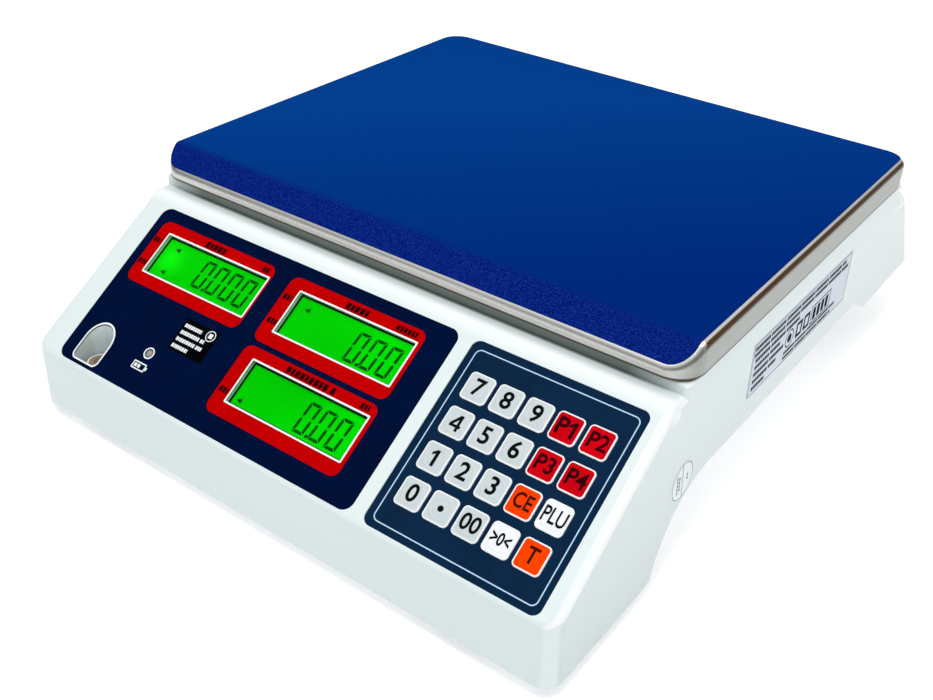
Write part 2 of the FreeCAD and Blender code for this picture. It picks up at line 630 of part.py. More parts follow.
def make_power():
    x = -tray_half_width
    y, z = inlet_y, socket_z
    flange = block(x - 2.5, x, y - 15.4, y + 15.4, z - 12.0, z + 12.0)
    body = block(x, x + 20, y - inlet_half_y, y + inlet_half_y, z - inlet_half_z, z + inlet_half_z)
    inlet = fused([flange, body]).cut(block(x - 5, x + 15, y - 12.0, y + 12.0, z - 7.8, z + 7.8))
    pins = [block(x + 5, x + 16, y + dy - 1.0, y + dy + 1.0, z + dz - 2.0, z + dz + 2.0)
            for dy, dz in ((-7.0, -1.5), (0.0, 1.5), (7.0, -1.5))]
    nodes["mains_inlet"] = fused([inlet] + pins)
    y = switch_y
    bezel = block(x - 2.0, x, y - 11.2, y + 11.2, z - 8.0, z + 8.0)
    shell = block(x, x + 16, y - switch_half_y, y + switch_half_y, z - switch_half_z, z + switch_half_z)
    frame = fused([bezel, shell]).cut(block(x - 5, x + 14, y - 8.4, y + 8.4, z - 5.2, z + 5.2))
    nodes["switch_frame"] = frame
    pivot = Vector(x - 0.5, y, z)
    rocker = disc(pivot.x, y, z - 4.9, z + 4.9, 8.1)
    rocker = rocker.common(block(pivot.x - 3, pivot.x + 6, y - 9, y + 9, z - 5, z + 5))
    rocker = rocker.cut(disc(pivot.x - 32, y, z - 6, z + 6, 30.0))
    rocker.rotate(pivot, Vector(0, 0, 1), rocker_tilt)
    nodes["switch_rocker"] = rocker
    floor = base_floor_z + base_wall
    core = block(78, 128, -40, 10, floor + 2, floor + 36)
    winding = plate(84, 122, -34, 4, floor, floor + 44, 6)
    feet_plate = block(72, 134, -30, 0, floor, floor + 2)
    nodes["power_transformer"] = fused([core, winding, feet_plate])
    battery = plate(-134, -64, -105, -5, floor, floor + 47, 3)
    terminals = [block(-130, -124, -100 + dy, -94 + dy, floor + 47, floor + 53) for dy in (0, 84)]
    nodes["battery"] = fused([battery] + terminals)
    board = block(72, 134, 28, 136, floor + 4, floor + 5.6)
    parts = [block(80, 100, 40, 60, floor + 5.6, floor + 9), block(106, 118, 44, 50, floor + 5.6, floor + 12),
             disc(90, 84, floor + 5.6, floor + 22, 8), disc(112, 84, floor + 5.6, floor + 18, 6),
             block(78, 126, 118, 132, floor + 5.6, floor + 14)]
    spacers = [disc(px, py, floor, floor + 4, 3.5) for px in (77, 129) for py in (33, 118)]
    nodes["main_board"] = fused([board] + parts + spacers)


def make_label():
    width, height, thickness = label_size
    sheet = block(0, thickness, -width / 2, width / 2, -height / 2, height / 2)
    sheet.rotate(Vector(), Vector(1, 0, 0), -label_tilt)
    sheet.rotate(Vector(), Vector(0, 1, 0), -draft_angle)
    centre_y, centre_z = label_centre
    x = body_half_width - (centre_z - body_bottom_z) * draft_ratio
    sheet.translate(Vector(x, centre_y, centre_z))
    nodes["rating_label"] = sheet


def main():
    make_upper_housing()
    make_lower_housing()
    make_display()
    make_keypad()
    make_rear_display()
    make_weighing()
    make_pan()
    make_feet()
    make_power()
    make_label()
    os.makedirs("parts", exist_ok=True)
    for name, shape in nodes.items():
        if not shape.isValid():
            print("invalid:", name)
        shape.exportStep("parts/" + name + ".step")
        box = shape.BoundBox
        print("%-20s solids %2d volume %10.0f  x %.1f %.1f y %.1f %.1f z %.1f %.1f" % (
            name, len(shape.Solids), shape.Volume, box.XMin, box.XMax, box.YMin, box.YMax, box.ZMin, box.ZMax))


main()
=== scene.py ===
"""Looks of the price-computing retail scale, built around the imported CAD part.

Everything is in metres and in the part's own frame: +X to the operator's right, +Y away from
the operator, +Z up. Lengths inside the drawing helpers are in millimetres and are scaled by MM.
"""
import json
import math

import bpy
from mathutils import Matrix, Vector


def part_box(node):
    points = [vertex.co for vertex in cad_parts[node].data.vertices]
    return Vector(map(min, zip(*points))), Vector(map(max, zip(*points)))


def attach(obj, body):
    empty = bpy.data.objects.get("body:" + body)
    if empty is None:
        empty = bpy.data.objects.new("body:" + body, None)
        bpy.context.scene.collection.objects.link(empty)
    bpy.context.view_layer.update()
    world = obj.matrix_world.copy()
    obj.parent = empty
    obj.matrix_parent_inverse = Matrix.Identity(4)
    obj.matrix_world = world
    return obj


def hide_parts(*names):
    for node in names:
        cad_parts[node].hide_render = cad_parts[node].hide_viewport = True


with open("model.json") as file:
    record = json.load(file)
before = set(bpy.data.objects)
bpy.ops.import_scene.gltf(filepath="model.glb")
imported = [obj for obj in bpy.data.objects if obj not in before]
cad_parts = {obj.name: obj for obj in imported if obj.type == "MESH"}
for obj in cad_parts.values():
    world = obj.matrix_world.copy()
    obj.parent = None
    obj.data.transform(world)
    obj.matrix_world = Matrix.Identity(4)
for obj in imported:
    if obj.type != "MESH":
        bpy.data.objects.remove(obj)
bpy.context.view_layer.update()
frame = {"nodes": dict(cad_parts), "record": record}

MM = 0.001

# ---------------------------------------------------------------- places
CONSOLE_SLOPE = math.radians(33.5)
CONSOLE_HEAD = Vector((0.0, -0.1255, 0.1056))      # middle of the deck's front edge
REAR_HEAD = Vector((0.0, 0.1823, 0.096))           # middle of the rear deck's edge
REAR_RUN, REAR_DROP = 219.0 - 182.3, 96.0 - 37.9    # rear panel, from its upper to its lower edge
REAR_TILT = math.atan2(REAR_RUN, REAR_DROP)         # its angle from the vertical
DRAFT = math.radians(1.7)
HALF_WIDTH, LOWER_EDGE = 171.6, 7.7                # housing at its lower edge, and that edge's height
LABEL_CENTRE = (20.6, 79.6)
LABEL_SIZE = (131.0, 32.0)
LABEL_TILT = math.radians(0.5)


def place_from(across, up, out, origin):
    """Matrix from a panel's own millimetre frame to the part's frame."""
    turn = Matrix((across, up, out)).transposed().to_4x4()
    return Matrix.Translation(origin) @ turn @ Matrix.Scale(MM, 4)


CONSOLE = place_from(
    Vector((1, 0, 0)),
    Vector((0, math.cos(CONSOLE_SLOPE), math.sin(CONSOLE_SLOPE))),
    Vector((0, -math.sin(CONSOLE_SLOPE), math.cos(CONSOLE_SLOPE))),
    CONSOLE_HEAD)
REAR = place_from(
    Vector((-1, 0, 0)),
    Vector((0, -math.sin(REAR_TILT), math.cos(REAR_TILT))),
    Vector((0, math.cos(REAR_TILT), math.sin(REAR_TILT))),
    REAR_HEAD)


def on_right_wall(y, z, tilt=0.0):
    """Frame on the right-hand wall: X to the rear, Y up the wall, Z outward."""
    x = HALF_WIDTH - (z - LOWER_EDGE) * math.tan(DRAFT)
    up = Vector((-math.sin(DRAFT), 0, math.cos(DRAFT)))
    out = Vector((math.cos(DRAFT), 0, math.sin(DRAFT)))
    place = place_from(Vector((0, 1, 0)), up, out, Vector((x, y, z)) * MM)
    return place @ Matrix.Rotation(-tilt, 4, "Z")


# ---------------------------------------------------------------- materials
def linear(red, green, blue):
    """Linear colour from its display values, 0 to 255."""
    parts = []
    for value in (red, green, blue):
        share = value / 255
        parts.append(share / 12.92 if share <= 0.04045 else ((share + 0.055) / 1.055) ** 2.4)
    return (*parts, 1.0)


def noise(nodes, links, vector, scale, detail=3.0):
    texture = nodes.new("ShaderNodeTexNoise")
    texture.inputs["Scale"].default_value = scale
    texture.inputs["Detail"].default_value = detail
    links.new(vector, texture.inputs["Vector"])
    return texture.outputs["Fac"]


def ramp(nodes, links, factor, low, high, start=0.3, end=0.7):
    mixer = nodes.new("ShaderNodeValToRGB")
    mixer.color_ramp.elements[0].position = start
    mixer.color_ramp.elements[1].position = end
    mixer.color_ramp.elements[0].color = low
    mixer.color_ramp.elements[1].color = high
    links.new(factor, mixer.inputs["Fac"])
    return mixer.outputs["Color"]


def stretched(nodes, links, scale):
    """Object coordinates, in metres, multiplied by scale."""
    coordinates = nodes.new("ShaderNodeTexCoord")
    mapping = nodes.new("ShaderNodeMapping")
    mapping.inputs["Scale"].default_value = scale
    links.new(coordinates.outputs["Object"], mapping.inputs["Vector"])
    return mapping.outputs["Vector"]


def axes_of(nodes, links):
    """X, Y and Z object coordinates, in metres, as three sockets."""
    split = nodes.new("ShaderNodeSeparateXYZ")
    links.new(stretched(nodes, links, (1, 1, 1)), split.inputs["Vector"])
    return split.outputs


def from_middle(nodes, links, across):
    """Distance from the object's middle plane, from its X coordinate."""
    distance = nodes.new("ShaderNodeMath")
    distance.operation = "ABSOLUTE"
    links.new(across, distance.inputs[0])
    return distance.outputs["Value"]


def zone(nodes, links, limits):
    """Product of ramps: each is (socket, value where it is empty, value where it is full)."""
    factor = None
    for socket, empty, full in limits:
        step = nodes.new("ShaderNodeMapRange")
        step.inputs["From Min"].default_value = empty
        step.inputs["From Max"].default_value = full
        links.new(socket, step.inputs["Value"])
        if factor is None:
            factor = step.outputs["Result"]
            continue
        product = nodes.new("ShaderNodeMath")
        product.operation = "MULTIPLY"
        links.new(factor, product.inputs[0])
        links.new(step.outputs["Result"], product.inputs[1])
        factor = product.outputs["Value"]
    return factor


MIX_A, MIX_B, MIX_RESULT = 6, 7, 2                 # colour sockets of a Mix node, which share their names


def tinted(nodes, links, factor, below, above, blend_type="MIX"):
    """Colour that goes from the socket below to a colour or socket above, by factor."""
    mixer = nodes.new("ShaderNodeMix")
    mixer.data_type = "RGBA"
    mixer.blend_type = blend_type
    links.new(factor, mixer.inputs["Factor"])
    links.new(below, mixer.inputs[MIX_A])
    if isinstance(above, tuple):
        mixer.inputs[MIX_B].default_value = above
    else:
        links.new(above, mixer.inputs[MIX_B])
    return mixer.outputs[MIX_RESULT]


def finish_material(name, colour, rough, metal=0.0, specular=0.5, mottle=0.05, mottle_scale=60.0,
                    grain=0.0, grain_scale=1500.0, stretch=(1, 1, 1), rough_spread=0.06):
    """Procedural surface: mottled colour, uneven gloss and, if grain is given, a fine relief."""
    material = bpy.data.materials.new(name)
    material.use_nodes = True
    nodes, links = material.node_tree.nodes, material.node_tree.links
    surface = nodes["Principled BSDF"]
    surface.inputs["Metallic"].default_value = metal
    surface.inputs["Specular IOR Level"].default_value = specular
    vector = stretched(nodes, links, stretch)
    spots = noise(nodes, links, vector, mottle_scale)
    low = tuple(c * (1 - mottle) for c in colour[:3]) + (1.0,)
    high = tuple(min(c * (1 + mottle), 1.0) for c in colour[:3]) + (1.0,)
    links.new(ramp(nodes, links, spots, low, high), surface.inputs["Base Color"])
    spread = nodes.new("ShaderNodeMapRange")
    spread.inputs["To Min"].default_value = max(rough - rough_spread, 0.02)
    spread.inputs["To Max"].default_value = min(rough + rough_spread, 1.0)
    links.new(noise(nodes, links, vector, mottle_scale * 4), spread.inputs["Value"])
    links.new(spread.outputs["Result"], surface.inputs["Roughness"])
    if grain:
        bump = nodes.new("ShaderNodeBump")
        bump.inputs["Strength"].default_value = grain
        bump.inputs["Distance"].default_value = 0.0001
        links.new(noise(nodes, links, vector, grain_scale), bump.inputs["Height"])
        links.new(bump.outputs["Normal"], surface.inputs["Normal"])
    return material


def clear_material(name):
    """Thin clear cover: straight through, with a light gloss."""
    material = bpy.data.materials.new(name)
    material.use_nodes = True
    nodes, links = material.node_tree.nodes, material.node_tree.links
    nodes.clear()
    out = nodes.new("ShaderNodeOutputMaterial")
    through = nodes.new("ShaderNodeBsdfTransparent")
    gloss = nodes.new("ShaderNodeBsdfGlossy")
    gloss.inputs["Roughness"].default_value = 0.12
    fresnel = nodes.new("ShaderNodeFresnel")
    fresnel.inputs["IOR"].default_value = 1.06
    blend = nodes.new("ShaderNodeMixShader")
    vector = stretched(nodes, links, (1, 1, 1))
    tint = ramp(nodes, links, noise(nodes, links, vector, 40.0), linear(244, 252, 246), linear(255, 255, 255))
    links.new(tint, through.inputs["Color"])
    links.new(fresnel.outputs["Fac"], blend.inputs["Fac"])
    links.new(through.outputs["BSDF"], blend.inputs[1])
    links.new(gloss.outputs["BSDF"], blend.inputs[2])
    links.new(blend.outputs["Shader"], out.inputs["Surface"])
    return material


LAMP_SPOT = CONSOLE @ Vector((-128.5, -35.0, -3.0))    # behind the weight window's left-hand end


def lit_material(name, dim, bright, strength):
    """Backlit readout: an uneven green glow, brightest in front of the lamp."""
    material = finish_material(name, (0.0, 0.01, 0.0), 0.35, specular=0.0, mottle=0.1)
    nodes, links = material.node_tree.nodes, material.node_tree.links
    surface = nodes["Principled BSDF"]
    vector = stretched(nodes, links, (1, 1, 1))
    glow = ramp(nodes, links, noise(nodes, links, vector, 16.0, 1.0), dim, bright, 0.35, 0.75)
    away = nodes.new("ShaderNodeVectorMath")
    away.operation = "DISTANCE"
    away.inputs[1].default_value = LAMP_SPOT
    links.new(vector, away.inputs[0])
    spot = zone(nodes, links, [(away.outputs["Value"], 0.013, 0.002)])
    links.new(tinted(nodes, links, spot, glow, linear(10, 250, 10)), surface.inputs["Emission Color"])
    surface.inputs["Emission Strength"].default_value = strength
    return material


def film_material(name):
    """Blue cover film: faint mottling on the flat, painted shade deepening its blue towards the
    front right, and on the folded front a painted shade of the bend with light speckles."""
    material = finish_material(name, linear(4, 61, 139), 0.45, specular=0.0, mottle=0.14,
                               mottle_scale=1100.0, grain=0.12, grain_scale=900.0)
    nodes, links = material.node_tree.nodes, material.node_tree.links
    surface = nodes["Principled BSDF"]
    vector = stretched(nodes, links, (1, 1, 1))
    across, along, _ = axes_of(nodes, links)
    # painted shade: the flat a deeper blue towards the front right
    nearness = nodes.new("ShaderNodeMath")
    nearness.operation = "SUBTRACT"
    links.new(across, nearness.inputs[0])
    links.new(along, nearness.inputs[1])
    front_right_shade = zone(nodes, links, [(nearness.outputs["Value"], -0.12, 0.2)])
    flat = surface.inputs["Base Color"].links[0].from_socket
    shaded_blue = ramp(nodes, links, noise(nodes, links, vector, 1100.0), linear(0, 36, 114), linear(0, 43, 124))
    flat = tinted(nodes, links, front_right_shade, flat, shaded_blue)
    # folded front: painted shade of the bend in a darker blue, with the film's light speckles
    speckles = ramp(nodes, links, noise(nodes, links, vector, 1600.0, 2.0), linear(0, 20, 100),
                    linear(26, 58, 160), 0.42, 0.74)
    fold_shade = zone(nodes, links, [(along, -0.1035, -0.1085)])
    links.new(tinted(nodes, links, fold_shade, flat, speckles), surface.inputs["Base Color"])
    return material


def steel_material(name):
    """Bent stainless sheet, with painted reflections: lighter on its flat top, greyer along both
    side skirts and a brown band along the side bends; painted shade makes a dark line at the lower edge."""
    material = finish_material(name, linear(198, 199, 195), 0.34, metal=1.0, mottle=0.08,
                               mottle_scale=60.0, stretch=(0.25, 0.25, 60.0), rough_spread=0.08)
    nodes, links = material.node_tree.nodes, material.node_tree.links
    surface = nodes["Principled BSDF"]
    across, along, rise = axes_of(nodes, links)
    distance = from_middle(nodes, links, across)
    colour = surface.inputs["Base Color"].links[0].from_socket
    # painted reflection: the side skirts greyer
    side_skirt_reflection = zone(nodes, links, [(distance, 0.158, 0.1685)])
    colour = tinted(nodes, links, side_skirt_reflection, colour, linear(196, 200, 198), "MULTIPLY")
    # painted reflection: the flat top lighter
    top_reflection = zone(nodes, links, [(rise, 0.1266, 0.1272)])
    colour = tinted(nodes, links, top_reflection, colour, linear(250, 250, 246))
    # painted reflection: a brown band along the side bends
    bend_reflection = zone(nodes, links, [(distance, 0.1676, 0.1682), (along, -0.109, -0.105),
                               (rise, 0.1254, 0.1262)])
    colour = tinted(nodes, links, bend_reflection, colour, linear(120, 92, 66))
    # painted shade: a dark line along the lower edge
    lower_edge_shade = zone(nodes, links, [(rise, 0.1132, 0.1126)])
    colour = tinted(nodes, links, lower_edge_shade, colour, linear(74, 66, 56))
    links.new(colour, surface.inputs["Base Color"])
    return material


def housing_material(name):
    """White moulding, with painted light and shade: painted shade greys the front and side walls,
    the side walls most at their foot; painted highlights lighten the console's top edge and
    right-hand ridge, and painted shadow darkens the wall just below the pan's front edge."""
    material = finish_material(name, linear(226, 238, 238), 0.24, mottle=0.012, specular=0.5)
    nodes, links = material.node_tree.nodes, material.node_tree.links
    surface = nodes["Principled BSDF"]
    across, along, rise = axes_of(nodes, links)
    distance = from_middle(nodes, links, across)
    # painted shadow: dark grey on the wall just below the pan's front edge, fading near both ends
    recess_shadow = zone(nodes, links, [(distance, 0.166, 0.138), (along, -0.1200, -0.1180),
                                 (along, -0.1150, -0.1160), (rise, 0.1048, 0.1056)])
    facing = nodes.new("ShaderNodeSeparateXYZ")
    links.new(nodes.new("ShaderNodeNewGeometry").outputs["Normal"], facing.inputs["Vector"])
    sideways, forward, upward = facing.outputs
    colour = surface.inputs["Base Color"].links[0].from_socket
    # painted shade: walls that face the front a little greyer
    front_wall_shade = zone(nodes, links, [(forward, -0.85, -0.96)])
    colour = tinted(nodes, links, front_wall_shade, colour, linear(216, 228, 228))
    # painted shade: walls that face sideways a little greyer
    side_wall_shade = zone(nodes, links, [(sideways, 0.9, 0.98)])
    colour = tinted(nodes, links, side_wall_shade, colour, linear(221, 233, 233))
    # painted shade: the side walls darker towards their foot
    side_foot_shade = zone(nodes, links, [(sideways, 0.9, 0.98), (rise, 0.09, 0.0)])
    colour = tinted(nodes, links, side_foot_shade, colour, linear(204, 216, 216))
    # painted highlight: the rounded ridge between the console and the right-hand wall lighter
    ridge_highlight = zone(nodes, links, [(sideways, 0.2, 0.5), (upward, 0.12, 0.36)])
    colour = tinted(nodes, links, ridge_highlight, colour, linear(252, 255, 255))
    # painted highlight: the console's flat top strip lighter
    console_top_highlight = zone(nodes, links, [(along, -0.132, -0.127), (along, -0.1215, -0.1235),
                                      (rise, 0.094, 0.098)])
    colour = tinted(nodes, links, console_top_highlight, colour, linear(246, 252, 252))
    links.new(tinted(nodes, links, recess_shadow, colour, linear(110, 122, 116)), surface.inputs["Base Color"])
    return material


finishes = {
    "housing_white": housing_material("housing_white"),
    "base_plastic": finish_material("base_plastic", linear(252, 253, 253), 0.55, mottle=0.02, grain=0.25),
    "brass": finish_material("brass", linear(205, 165, 90), 0.3, metal=1.0),
    "zinc_steel": finish_material("zinc_steel", linear(190, 194, 198), 0.32, metal=1.0, mottle=0.08),
    "display_film": finish_material("display_film", linear(2, 17, 53), 0.4, specular=0.0, mottle=0.15,
                                    grain=0.04),
    "clear_window": clear_material("clear_window"),
    "lcd_green": lit_material("lcd_green", linear(0, 196, 0), linear(0, 226, 0), 1.0),
    "backlight": finish_material("backlight", linear(225, 228, 220), 0.6),
    "circuit_board": finish_material("circuit_board", linear(20, 92, 46), 0.4, mottle=0.2),
    "led_lens": finish_material("led_lens", linear(150, 140, 140), 0.25, mottle=0.2),
    "level_liquid": finish_material("level_liquid", linear(150, 128, 108), 0.2, mottle=0.15),
    "keypad_film": finish_material("keypad_film", linear(14, 40, 68), 0.42, specular=0.0, mottle=0.12,
                                   grain=0.08),
    "keypad_carrier": finish_material("keypad_carrier", linear(50, 52, 56), 0.6),
    "key_grey": finish_material("key_grey", linear(202, 212, 215), 0.4, mottle=0.02, grain=0.04,
                                specular=0.3),
    "key_red": finish_material("key_red", linear(204, 4, 20), 0.4, mottle=0.08, specular=0.0),
    "key_orange": finish_material("key_orange", linear(252, 66, 0), 0.4, mottle=0.05, specular=0.0),
    "key_white": finish_material("key_white", linear(240, 244, 248), 0.4, mottle=0.015),
    "aluminium": finish_material("aluminium", linear(208, 210, 213), 0.35, metal=1.0, stretch=(1, 20, 1)),
    "cast_aluminium": finish_material("cast_aluminium", linear(180, 182, 184), 0.55, metal=1.0, grain=0.4),
    "pad_rubber": finish_material("pad_rubber", linear(34, 34, 36), 0.8, grain=0.2),
    "stainless": steel_material("stainless"),
    "blue_film": film_material("blue_film"),
    "foot_plastic": finish_material("foot_plastic", linear(30, 30, 32), 0.6, grain=0.2),
    "black_plastic": finish_material("black_plastic", linear(24, 24, 26), 0.45, grain=0.1),
    "transformer_steel": finish_material("transformer_steel", linear(96, 84, 70), 0.5, stretch=(1, 1, 30)),
    "battery_case": finish_material("battery_case", linear(58, 60, 64), 0.55, grain=0.2),
    "label_film": finish_material("label_film", linear(204, 215, 226), 0.35, mottle=0.03),
}
inks = {
    "red": finish_material("ink_red", linear(190, 0, 2), 0.45, specular=0.0, mottle=0.05),
    "white": finish_material("ink_white", linear(238, 246, 248), 0.45, specular=0.3, mottle=0.02),
    "pale_blue": finish_material("ink_pale_blue", linear(190, 220, 245), 0.45, specular=0.2, mottle=0.03),
    "black": finish_material("ink_black", linear(16, 20, 22), 0.5, specular=0.0, mottle=0.1),
    "dark_red": finish_material("ink_dark_red", linear(46, 0, 8), 0.5, specular=0.0, mottle=0.1),
    "segment": finish_material("lcd_segment", linear(0, 72, 8), 0.5, specular=0.0, mottle=0.1),
    "slate": finish_material("ink_slate", linear(44, 50, 62), 0.5, specular=0.0, mottle=0.1),
    "grey": finish_material("ink_grey", linear(126, 134, 144), 0.5, specular=0.0, mottle=0.1),
    "wine": finish_material("ink_wine", linear(54, 4, 14), 0.5, specular=0.0, mottle=0.1),
    "brown": finish_material("ink_brown", linear(58, 22, 14), 0.5, specular=0.0, mottle=0.1),
    "plate": finish_material("ink_plate", linear(6, 6, 10), 0.5, specular=0.0, mottle=0.1),
}
for entry in frame["record"]["subparts"]:
    node = frame["nodes"][entry["node"]]
    node.data.materials.clear()
    node.data.materials.append(finishes[entry["material_slot"]])


# ---------------------------------------------------------------- drawing helpers
def add_piece(mesh, name, materials, body):
    piece = bpy.data.objects.new(name, mesh)
    bpy.context.scene.collection.objects.link(piece)
    mesh.materials.clear()
    for material in materials:
        mesh.materials.append(material)
    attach(piece, body)
    return piece


def solid_from_curve(curve, name, place, low, high, material, body):
    """Flat curve, drawn in millimetres, as a thin solid between two heights over a panel."""
    curve.dimensions = "2D"
    curve.fill_mode = "BOTH"
    curve.extrude = (high - low) / 2
    draft = bpy.data.objects.new(name + "_draft", curve)
    bpy.context.scene.collection.objects.link(draft)
    bpy.context.view_layer.update()
    shape = draft.evaluated_get(bpy.context.evaluated_depsgraph_get())
    mesh = bpy.data.meshes.new_from_object(shape)
    bpy.data.objects.remove(draft)
    mesh.name = name
    mesh.transform(place @ Matrix.Translation((0, 0, (high + low) / 2)))
    return add_piece(mesh, name, [material], body)


def print_shape(name, loops, place, low, high, material, body="housing"):
    """Printed area bounded by closed loops of (x, y). A loop inside another is a hole."""
    curve = bpy.data.curves.new(name, "CURVE")
    for loop in loops:
        spline = curve.splines.new("POLY")
        spline.points.add(len(loop) - 1)
        for point, (x, y) in zip(spline.points, loop):
            point.co = (x, y, 0, 1)
        spline.use_cyclic_u = True
    return solid_from_curve(curve, name, place, low, high, material, body)


def print_text(name, text, size, place, low, high, material, body, bold=0.3, narrow=1.0):
    curve = bpy.data.curves.new(name, "FONT")
    curve.body = text
    curve.size = size
    curve.offset = bold
    curve.resolution_u = 4
    curve.align_x = "CENTER"
    curve.align_y = "CENTER"
    squeeze = Matrix.Diagonal((narrow, 1, 1, 1))
    return solid_from_curve(curve, name, place @ squeeze, low, high, material, body)


def round_rect(x0, x1, y0, y1, radius, steps=8):
    """Corner points of a rectangle with rounded corners, anticlockwise."""
    points = []
    centres = [(x1 - radius, y0 + radius), (x1 - radius, y1 - radius), (x0 + radius, y1 - radius),
               (x0 + radius, y0 + radius)]
    for quarter, (cx, cy) in enumerate(centres):
        for step in range(steps + 1):
            angle = math.pi / 2 * (quarter - 1 + step / steps)
            points.append((cx + radius * math.cos(angle), cy + radius * math.sin(angle)))
    return points


def grown(x0, x1, y0, y1, margin):
    return x0 - margin, x1 + margin, y0 - margin, y1 + margin


def window_ring(window, outer, outer_radius, inner, inner_radius):
    """Rounded ring about a window, from its outer to its inner margin."""
    return [round_rect(*grown(*window, outer), outer_radius),
            round_rect(*grown(*window, inner), inner_radius)]


def circle(cx, cy, radius, steps=40):
    points = []
    for k in range(steps):
        angle = 2 * math.pi * k / steps
        points.append((cx + radius * math.cos(angle), cy + radius * math.sin(angle)))
    return points


def bar(x, y, width, height):
    return [(x, y), (x + width, y), (x + width, y + height), (x, y + height)]


# ---------------------------------------------------------------- console graphics
OVERLAY_FACE = -0.05
PLATE_TOP = OVERLAY_FACE + 0.02                     # three layers of ink on the overlay
AREA_TOP = OVERLAY_FACE + 0.03
LINE_TOP = OVERLAY_FACE + 0.05
SEGMENT_SLANT = math.tan(math.radians(4))
LCD_FACE = -2.9
WINDOW_HALF = (38.3, 12.6)
WINDOWS = {"weight": (-99.2, -35.0), "price": (0.0, -34.8), "total": (0.0, -77.7)}
CAPTION_LENGTH = {"weight": 15.4, "price": 14.6, "total": 32.4}
CAPTION_START = {"weight": -11.4, "price": -9.0, "total": -17.4}
UNIT_LENGTH = {"weight": 5.0, "price": 13.0, "total": 5.6}
# how far the red frame reaches past its window: left, right, top, bottom
FRAME_MARGINS = {"weight": (8.2, 1.7, 7.0, 7.8), "price": (9.1, 3.0, 7.0, 7.9),
                 "total": (8.9, 3.0, 6.7, 8.3)}
WINDOW_LINE = (0.7, 0.8, -0.25, 0.5)                # white line about a window, for window_ring
GLASS_LINE = (1.6, 0.5, -1.15, 0.3)                 # black line about the glass behind it
HOLE_MARGIN, HOLE_RADIUS = WINDOW_LINE[:2]


def word_bars(x, y, length, height, letter):
    """A line of plain blocks, as broad as letters, in place of wording."""
    loops = []
    start, turn = x, 0
    while start < x + length:
        width = letter * (0.75 if turn % 3 == 1 else 1.0)
        loops.append(bar(start, y, min(width, x + length - start), height))
        start += width + letter * (0.9 if turn % 9 == 8 else 0.26)
        turn += 1
    return loops


def segment_loops(x, y, width, height, stroke):
    """Outlines of the six lit bars of a seven-bar zero, mitred where two bars meet."""
    gap = stroke * 0.2
    middle = height / 2
    lower_left = [(gap, 0), (width - gap, 0), (width - stroke - gap, stroke), (stroke + gap, stroke)]
    left_low = [(0, gap), (stroke, stroke + gap), (stroke, middle - stroke * 0.7),
                (stroke / 2, middle - gap), (0, middle - stroke * 0.7)]
    loops = []
    for mirror_x in (False, True):
        for mirror_y in (False, True):
            for outline in ([left_low] if mirror_x else [left_low, lower_left]):
                points = [(width - px if mirror_x else px, height - py if mirror_y else py)
                          for px, py in outline]
                loops.append([(x + px + (py - middle) * SEGMENT_SLANT, y + py) for px, py in points])
    return loops


MARKER_LENGTH, MARKER_HALF = 3.6, 1.5


def readout(name, place, cx, cy, places, digit=(7.4, 17.4), pitch=10.3, right=33.0, stroke=1.6,
            drop=0.0, markers=()):
    """Zeros with a decimal point, set against the right-hand end of a readout window."""
    width, height = digit
    loops = []
    for index in range(places):
        x = cx + right - width - index * pitch
        loops += segment_loops(x, cy - drop - height / 2, width, height, stroke)
    point_x = cx + right - width - (places - 1) * pitch + width + (pitch - width) / 2
    loops.append(circle(point_x, cy - drop - height / 2 + stroke / 2, stroke * 0.6, 16))
    for dx, dy in markers:
        loops.append([(cx + dx, cy + dy), (cx + dx + MARKER_LENGTH, cy + dy - MARKER_HALF),
                      (cx + dx + MARKER_LENGTH, cy + dy + MARKER_HALF)])
    print_shape(name, loops, place, LCD_FACE + 0.01, LCD_FACE + 0.04, inks["segment"])


for name, (cx, cy) in WINDOWS.items():
    half_w, half_h = WINDOW_HALF
    window = (cx - half_w, cx + half_w, cy - half_h, cy + half_h)
    left, right, top, bottom = FRAME_MARGINS[name]
    red = (window[0] - left, window[1] + right, window[2] - bottom, window[3] + top)
    hole = round_rect(*grown(*window, HOLE_MARGIN), HOLE_RADIUS)
    print_shape("frame_" + name, [round_rect(*red, 5.0), hole], CONSOLE, OVERLAY_FACE, AREA_TOP, inks["red"])
    print_shape("outline_" + name, window_ring(window, *WINDOW_LINE),
                CONSOLE, OVERLAY_FACE, LINE_TOP, inks["white"])
    captions = word_bars(cx + CAPTION_START[name], cy + half_h + 1.5, CAPTION_LENGTH[name], 3.7, 2.6)
    captions += word_bars(cx + 36.5 - UNIT_LENGTH[name], cy + half_h + 1.8, UNIT_LENGTH[name], 3.2, 2.0)
    if name != "total":
        captions += word_bars(cx - half_w - 7.6, cy + 5.4, 5.4, 3.2, 2.0)
    captions += word_bars(cx - half_w - 7.6, cy - 9.4, 6.0, 3.2, 2.0)
    print_shape("captions_" + name, captions, CONSOLE, AREA_TOP, LINE_TOP, inks["dark_red"])
    print_shape("lcd_edge_" + name, window_ring(window, *GLASS_LINE),
                CONSOLE, LCD_FACE + 0.005, LCD_FACE + 0.03, inks["black"])
readout("readout_weight", CONSOLE, *WINDOWS["weight"], 4, right=32.2,
        markers=[(-30.4, 6.9), (-30.4, -7.9)])
readout("readout_price", CONSOLE, *WINDOWS["price"], 3, right=33.0, drop=1.4, markers=[(-31.8, 5.8)])
readout("readout_total", CONSOLE, *WINDOWS["total"], 3, right=31.6, drop=1.2, markers=[(-35.2, -8.6)])

# white ring around the level well and around the battery lamp
WELL_X, WELL_DOWN, WELL_HALF = -133.1, 94.4, 9.3
WELL_FRONT, WELL_CORNER = 12.5, 2.6
WELL_CORNER_STEPS, WELL_ARC_STEPS = 6, 24


